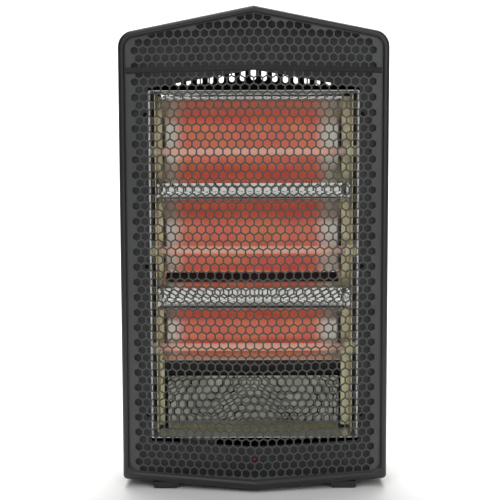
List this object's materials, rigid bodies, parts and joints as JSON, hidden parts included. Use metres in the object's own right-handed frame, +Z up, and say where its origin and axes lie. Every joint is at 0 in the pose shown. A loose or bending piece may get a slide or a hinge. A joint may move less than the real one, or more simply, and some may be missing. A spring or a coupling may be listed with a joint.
{
  "type": "outdoor heater",
  "caption": "Free-standing electric quartz heater: gabled upright body, folded pierced front grille, glowing tubes over polished reflectors, two flat feet.",
  "frame": {"origin": "on the floor, under the middle of the body's width and depth", "axes": "+Z up, +X to the right seen from the front, the grille faces -Y, cord outlet and controls face +Y"},
  "size_m": [0.334, 0.19, 0.5985],
  "materials": {
    "frame_plastic": "fine-grained charcoal moulding",
    "grille_paint": "satin charcoal powder coat on pierced steel",
    "panel_paint": "matt black heat-resistant paint",
    "housing_paint": "textured black powder coat",
    "foot_plastic": "charcoal moulding",
    "pad_rubber": "soft black rubber",
    "case_steel": "bright aluminised steel",
    "mirror_aluminium": "polished reflector sheet",
    "panel_aluminium": "polished reflector sheet",
    "zinc_plate": "yellow-passivated zinc plating",
    "shield_steel": "matt black paint",
    "quartz_glass": "clear fused quartz",
    "coil_wire": "glowing resistance wire",
    "cap_ceramic": "cream unglazed steatite",
    "plated_steel": "zinc-plated steel",
    "black_screw": "black-oxidised steel",
    "dark_plastic": "smooth black moulding",
    "button_plastic": "grey moulding",
    "board_laminate": "green glass-epoxy board",
    "lens_red": "red translucent lens",
    "lead_sleeve": "glass-fibre sleeved lead",
    "terminal_white": "cream thermoset",
    "nylon_black": "black nylon"
  },
  "bodies": {
    "heater": {"base_plate": "plated_steel", "base_reflector": "panel_aluminium", "case_screws": "black_screw", "control_board": "board_laminate", "control_panel": "dark_plastic", "cord_gland": "nylon_black", "cross_bar": "frame_plastic", "foot_pads": "pad_rubber", "foot_screws": "plated_steel", "front_frame": "frame_plastic", "front_grille": "grille_paint", "gland_nut": "nylon_black", "handle_cup": "dark_plastic", "heat_shield": "shield_steel", "heating_coil_lower": "coil_wire", "heating_coil_middle": "coil_wire", "heating_coil_upper": "coil_wire", "housing_screws": "black_screw", "inner_panel": "panel_paint", "left_cap_lower": "cap_ceramic", "left_cap_middle": "cap_ceramic", "left_cap_upper": "cap_ceramic", "left_end_plate": "zinc_plate", "left_foot": "foot_plastic", "left_leads": "lead_sleeve", "quartz_tube_lower": "quartz_glass", "quartz_tube_middle": "quartz_glass", "quartz_tube_upper": "quartz_glass", "rear_housing": "housing_paint", "receiver_board": "board_laminate", "receiver_lens": "lens_red", "reflector_case": "case_steel", "reflector_lower": "mirror_aluminium", "reflector_middle": "mirror_aluminium", "reflector_upper": "mirror_aluminium", "right_cap_lower": "cap_ceramic", "right_cap_middle": "cap_ceramic", "right_cap_upper": "cap_ceramic", "right_end_plate": "zinc_plate", "right_foot": "foot_plastic", "right_leads": "lead_sleeve", "rocker_case": "dark_plastic", "terminal_block": "terminal_white", "thermal_cutout": "dark_plastic", "tip_spring": "plated_steel", "tip_switch_case": "dark_plastic"},
    "power_button": {"power_button": "button_plastic"},
    "mode_button": {"mode_button": "button_plastic"},
    "timer_button": {"timer_button": "button_plastic"},
    "cooler_button": {"cooler_button": "button_plastic"},
    "warmer_button": {"warmer_button": "button_plastic"},
    "mains_rocker": {"rocker": "nylon_black"},
    "tip_plunger": {"tip_plunger": "nylon_black"}
  },
  "joints": [
    {"name": "power_button_press", "type": "slide", "parent": "heater", "child": "power_button", "axis": [0, -1, 0], "range_m": [0, 0.0012], "stiffness_N_per_m": 400, "springref_m": -0.0006},
    {"name": "mode_button_press", "type": "slide", "parent": "heater", "child": "mode_button", "axis": [0, -1, 0], "range_m": [0, 0.0012], "stiffness_N_per_m": 400, "springref_m": -0.0006},
    {"name": "timer_button_press", "type": "slide", "parent": "heater", "child": "timer_button", "axis": [0, -1, 0], "range_m": [0, 0.0012], "stiffness_N_per_m": 400, "springref_m": -0.0006},
    {"name": "cooler_button_press", "type": "slide", "parent": "heater", "child": "cooler_button", "axis": [0, -1, 0], "range_m": [0, 0.0012], "stiffness_N_per_m": 400, "springref_m": -0.0006},
    {"name": "warmer_button_press", "type": "slide", "parent": "heater", "child": "warmer_button", "axis": [0, -1, 0], "range_m": [0, 0.0012], "stiffness_N_per_m": 400, "springref_m": -0.0006},
    {"name": "mains_rocker_tilt", "type": "hinge", "parent": "heater", "child": "mains_rocker", "pos_m": [0.062, 0.07763, 0.062], "axis": [1, 0, 0], "range_deg": [0, 14]},
    {"name": "tip_plunger_drop", "type": "slide", "parent": "heater", "child": "tip_plunger", "axis": [0, 0, 1], "range_m": [-0.005, 0], "stiffness_N_per_m": 100, "springref_m": -0.008, "deforming": ["tip_spring"]}
  ]
}
